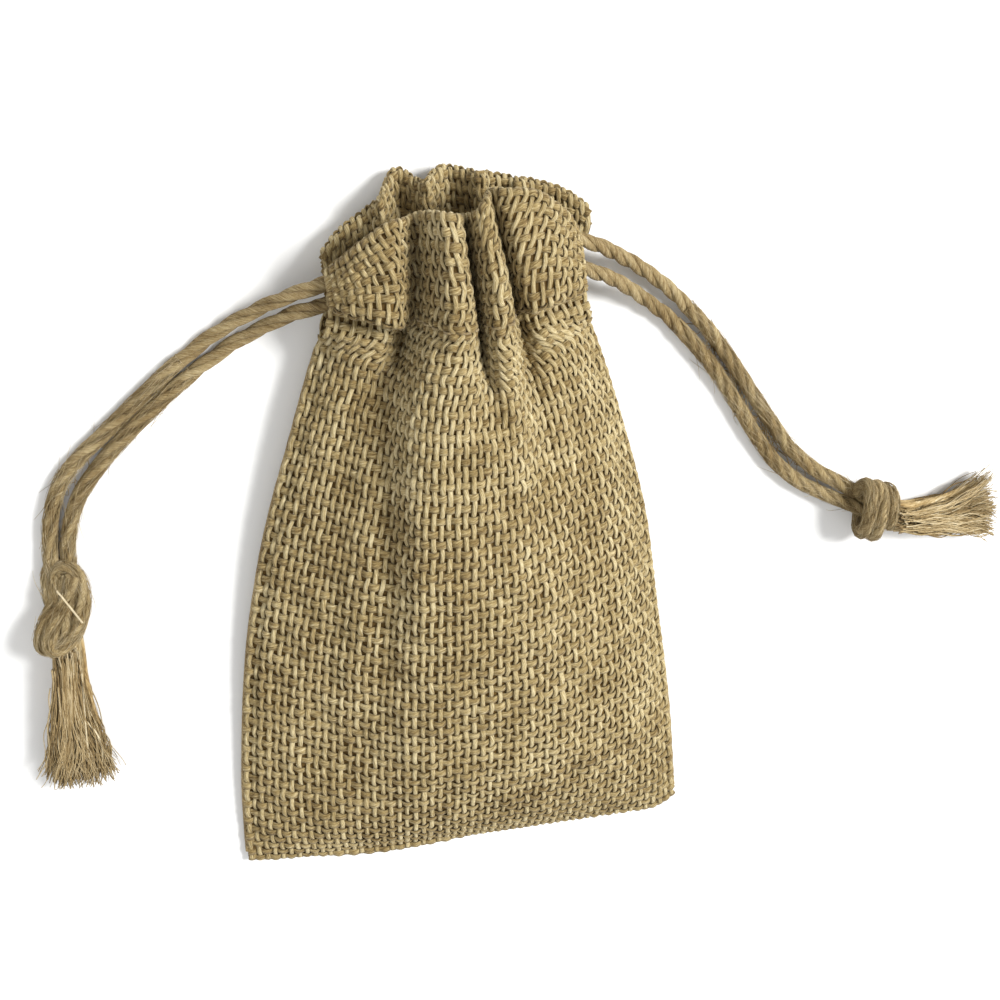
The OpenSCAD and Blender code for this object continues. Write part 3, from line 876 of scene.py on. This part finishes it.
def overhand_path(size, cord, shift, lean, k):
    """A strand tied in an overhand: in, round in a loop behind itself and out through the loop."""
    length, width, height = size
    t = np.linspace(-1.97, 1.97, 34)
    x = (t ** 3 - 3 * t) / 2 * (length - cord) / 2
    y = (t ** 4 - 4 * t ** 2 + 2) / 2 * (width - cord) / 2
    z = (t ** 5 / 5 - 2 * t) / 2.4 * (height - cord) / 2
    sunk = 1 - 0.85 * (hump(t, t[0], 0.17) + hump(t, t[-1], 0.17))
    return np.stack([x - shift, y * 0.9 * sunk - lean * x + k * cord * 0.28, z * sunk + k * cord * 0.2], 1)


def knot(name, at, turn, shape, lay, body, node):
    """Both strands tied and drawn tight together, with their ends coming out at the far side."""
    lines, paths = Lines(), []
    cord = CORD_D * 0.98
    length, shift = shape["size"][0], shape["shift"]
    for k in (-1, 1):
        core = [(-1 - shift, k * 0.8, 0.3 * k), (length / 4, k * 1.2, -0.2), (length / 2, k * 1.5, -0.6)]
        path, along = smooth_path(local_points(core, at, turn))
        add_laid_cord(lines, path, along, cord, lay, k)
        if "wraps" in shape:
            points = wrapped_path(cord=cord, k=k, **shape)
        else:
            points = overhand_path(cord=cord, k=k, **shape)
        path, along = smooth_path(local_points(points, at, turn))
        path[:, 2] = np.maximum(path[:, 2], cord / 2)
        add_laid_cord(lines, path, along, cord, lay, 2.0 * k)
        paths.append(path)
    piece = strands(name, lines, cord * 0.6, cord * 0.54, JUTE, sides=10)
    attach(piece, body)
    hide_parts(node)
    return piece, paths


# Each clump of a frayed end: its place across and up, how far it reaches, and how it bends away
LEFT_CLUMPS = [(-0.34, -0.1, 0.93, -0.1), (-0.2, 0.25, 0.97, 0.0), (-0.02, -0.2, 0.98, 0.02),
               (0.1, 0.28, 0.99, 0.04), (0.24, -0.15, 0.95, 0.06), (0.36, 0.1, 0.9, 0.1)]
RIGHT_CLUMPS = [(-0.32, 0.25, 0.9, -0.62), (-0.26, -0.1, 0.96, -0.1), (-0.1, 0.3, 0.98, 0.05),
                (0.06, -0.2, 0.99, -0.04), (0.22, 0.25, 0.97, 0.08), (0.36, -0.1, 0.96, 0.0)]


def tassel(name, path, widths, clumps, ply, body, node, count):
    """The unlaid ends below a knot: thin plies that open out into loose, wavy fibres."""
    centre, length = smooth_path(path)
    share = length / length[-1]
    along, _, _ = frames(centre)
    side = np.cross(along, (0, 0, 1))
    side /= np.linalg.norm(side, axis=1, keepdims=True)
    up = np.cross(side, along)

    def place_at(t, a, b):
        """Points at shares t, a across and b up, in shares of the width and height there."""
        at = [np.stack([np.interp(t, share, table[:, k]) for k in range(3)], 1)
              for table in (centre, side, up)]
        width = np.interp(t, np.linspace(0, 1, len(widths)), widths)
        height = 2 * at[0][:, 2] - 0.3
        place = at[0] + at[1] * (a * width)[:, None] + at[2] * (b * height)[:, None]
        place[:, 2] = np.maximum(place[:, 2], 0.18)
        return place, at[2]

    plies, fibres = Lines(), Lines()
    waves = [(RNG.uniform(4, 7), RNG.uniform(0, 6)) for _ in clumps]
    for (a, b, reach, bend), (speed, phase) in zip(clumps, waves):
        t = np.linspace(0, reach * 0.9, 60)
        drift = 0.06 * np.sin(speed * t + phase) * t + bend * t ** 4
        place, out = place_at(t, a + drift, np.full(60, b * 0.8))
        plies.add(place, out, (1.0 + 0.6 * t) * (1 - 0.5 * ease((t / reach - 0.55) / 0.4)))
    for i in range(count):
        a, b, reach, bend = clumps[i % len(clumps)]
        speed, phase = waves[i % len(clumps)]
        end = reach * RNG.uniform(0.88, 1.05)
        t = np.linspace(RNG.uniform(0, 0.3), end, 17)
        open_out = 0.85 + 0.4 * t
        drift = 0.06 * np.sin(speed * t + phase) * t + bend * t ** 4
        curl = 0.042 * np.sin(t * RNG.uniform(7, 24) + RNG.uniform(0, 6)) * (0.5 + t)
        lift = 0.1 * np.sin(t * RNG.uniform(6, 18) + RNG.uniform(0, 6))
        stray = RNG.normal(0, 0.05) * t ** 2
        da, db = RNG.normal(0, 0.07), RNG.normal(0.08, 0.25)
        high = np.clip(b * 0.9 + db * open_out + lift, -0.5, 0.66)
        place, out = place_at(t, a * 0.95 + da * open_out + drift + curl + stray, high)
        swell = RNG.uniform(0.75, 1.6) * (1.1 - 0.6 * (t - t[0]) / (end - t[0]))
        fibres.add(place, out, swell, tint=RNG.uniform(-1.2, 1.9))
    piece = strands(name, plies, ply, ply * 0.75, FRAY, sides=8)
    hair = strands(name + "_fibres", fibres, 0.25, 0.18, FRAY, sides=4)
    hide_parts(node)
    for made in (piece, hair):
        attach(made, body)
    return piece, hair


def cord_run(name, body, node, y, lay, x_z):
    """The stretch of cord that lies hidden inside a casing."""
    path, length = smooth_path([(x, y, z) for x, z in x_z])
    lines = Lines()
    add_laid_cord(lines, path, length, CORD_D, lay)
    piece = strands(name, lines, CORD_D * 0.56, CORD_D * 0.52, JUTE, sides=8)
    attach(piece, body)
    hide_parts(node)
    return piece


def declare_cord(piece, path, length, pieces):
    path[0] * MM
    length * MM
    path * MM


class CordEnd:
    """What is particular to the cord on one side."""

    def __init__(self, side, routes, lay, pivot, knot_at, knot_turn, knot_shape):
        self.side, self.routes, self.lay, self.pivot = side, routes, lay, pivot
        self.knot_at, self.knot_turn, self.knot_shape = knot_at, knot_turn, knot_shape


def cord_pair(this, tail, tail_widths, clumps, ply, fibre_count, tangle_count, strays):
    """Both free strands on one side, with their knot, frayed end and loose fibres."""
    body, end_body = this.side + "_cord", this.side + "_cord_end"
    made = []
    for which, route, k in (("outer", this.routes[0], 1), ("inner", this.routes[1], -1)):
        inside = tuple(local_points([(-0.5, k * 1.0, 0)], this.knot_at, this.knot_turn)[0])
        nodes = (f"{this.side}_{which}_exit", f"{this.side}_{which}_strand")
        made.append(free_cord(f"{this.side}_{which}_cord", route, inside, nodes,
                              this.lay, 2.2 * k))
    the_knot, tied = knot(f"{this.side}_overhand_knot", this.knot_at, this.knot_turn, this.knot_shape,
                          this.lay, end_body, this.side + "_knot")
    the_tassel, fibres = tassel(f"{this.side}_frayed_end", tail, tail_widths, clumps, ply, end_body,
                                this.side + "_tassel", fibre_count)
    fuzz = Lines()
    free = []
    for _, path, _ in made:
        start = int(np.argmin(np.linalg.norm(path - np.array(this.pivot), axis=1))) + 8
        free.append(path[start:])
        add_fuzz(fuzz, path[start:], 60, 8.0, 0.5)
        add_fuzz(fuzz, path[start:], 460, 9.0, 0.06, (1.45, 1.4))
    for path in tied:
        add_fuzz(fuzz, path, 26, 6.0, 0.4, (1.5, 1.5))
        add_fuzz(fuzz, path, 420, 6.5, 0.08, (1.5, 1.5))
    add_tangle(fuzz, free[0], free[1], tangle_count)
    hair = strands(f"{this.side}_cord_hairs", fuzz, 0.17, 0.14, FRAY, sides=3)
    loops = Lines()
    for points in strays:
        loops.add(smooth_path(points)[0], (0, 0, 1), 1.0, tint=3.0)
    stray = strands(f"{this.side}_stray_fibres", loops, 0.42, 0.34, FRAY, sides=6)
    for piece in (hair, stray):
        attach(piece, end_body)
    declare_cord(*made[0], [the_knot, the_tassel, fibres, hair, stray])
    declare_cord(*made[1], [])


# ---------------------------------------------------------------- the pouch


def add_pouch():
    front, back = Cloth(front_rows), Cloth(back_rows)
    back.normals = -back.normals
    pieces = woven_pieces(front, "front", ("front_panel", "front_shoulder"),
                          ("front_casing", "front_ruffle"))
    pieces += woven_pieces(back, "back", ("back_panel",), ("back_casing", "back_ruffle"))
    pieces.append(hem_stitches(front, "front_hem_stitches", "front_hem_stitch", STITCH_ROW))
    pieces.append(hem_stitches(back, "back_hem_stitches", "back_hem_stitch", STITCH_ROW))
    pieces.append(side_seam(front, "left_seam", -1, "left_side_seam"))
    pieces.append(side_seam(front, "right_seam", 1, "right_side_seam"))
    cloth = backing_sheet(front, back)
    bend_with_mouth(cloth)


def add_floor():
    mesh = bpy.data.meshes.new("table")
    reach, steps = 3.0, 8
    spots = np.linspace(-reach, reach, steps + 1)
    points = [(x, y, -0.0002) for y in spots for x in spots]
    n = steps + 1
    faces = [(j * n + i, j * n + i + 1, (j + 1) * n + i + 1, (j + 1) * n + i)
             for j in range(steps) for i in range(steps)]
    mesh.from_pydata(points, [], faces)
    mesh.materials.append(floor_material())
    table = bpy.data.objects.new("table", mesh)
    bpy.context.scene.collection.objects.link(table)


add_camera()
add_studio()
add_floor()
cord_pair(
    CordEnd("left", (LEFT_OUTER, LEFT_INNER), LEFT_LAY, LEFT_SWING, LEFT_KNOT, LEFT_KNOT_TURN, LEFT_TIE),
    LEFT_TASSEL, LEFT_TASSEL_WIDTHS, LEFT_CLUMPS, 2.3, 1200, 6, LEFT_STRAYS)
cord_pair(
    CordEnd("right", (RIGHT_OUTER, RIGHT_INNER), RIGHT_LAY, RIGHT_SWING, RIGHT_KNOT, RIGHT_KNOT_TURN,
            RIGHT_TIE),
    RIGHT_TASSEL, RIGHT_TASSEL_WIDTHS, RIGHT_CLUMPS, 2.8, 900, 40, RIGHT_STRAYS)
cord_run("left_cord_in_back_casing", "root", "left_cord_back_run", LEFT_RUN_Y, LEFT_LAY, BACK_SAG)
cord_run("right_cord_in_back_casing", "root", "right_cord_back_run", RIGHT_RUN_Y, RIGHT_LAY, BACK_SAG)
cord_run("left_cord_in_front_casing", "mouth_front", "left_cord_front_run", LEFT_RUN_Y, LEFT_LAY,
         FRONT_DIPS)
cord_run("right_cord_in_front_casing", "mouth_front", "right_cord_front_run", RIGHT_RUN_Y, RIGHT_LAY,
         FRONT_DIPS)
add_pouch()
